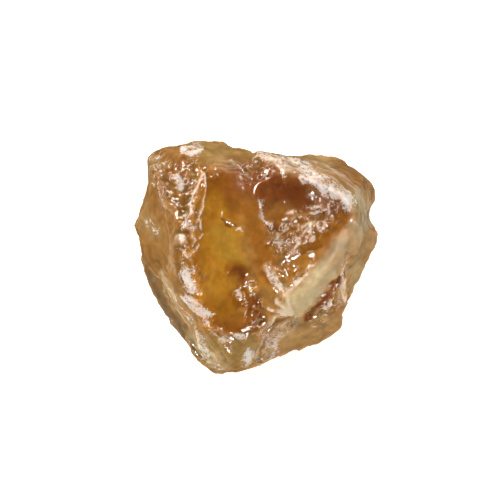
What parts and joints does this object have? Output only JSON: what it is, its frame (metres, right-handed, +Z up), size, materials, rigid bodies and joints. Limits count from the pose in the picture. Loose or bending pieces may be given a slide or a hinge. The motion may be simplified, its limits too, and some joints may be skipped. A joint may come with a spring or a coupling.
{
  "type": "honey calcite",
  "caption": "Rough chunk of honey calcite with two broken hollows on top and layered sides, resting on a flat break.",
  "frame": {"origin": "on the flat break it rests on, under the middle of the outline seen from above", "axes": "+Z up from the break it rests on, +X along the longest width, the blunt point faces -Y"},
  "size_m": [0.0614, 0.0592, 0.0362],
  "materials": {
    "calcite": "glossy translucent honey-brown crystal with chalky white crusts"
  },
  "bodies": {
    "root": {"honey_calcite": "calcite"}
  },
  "joints": []
}
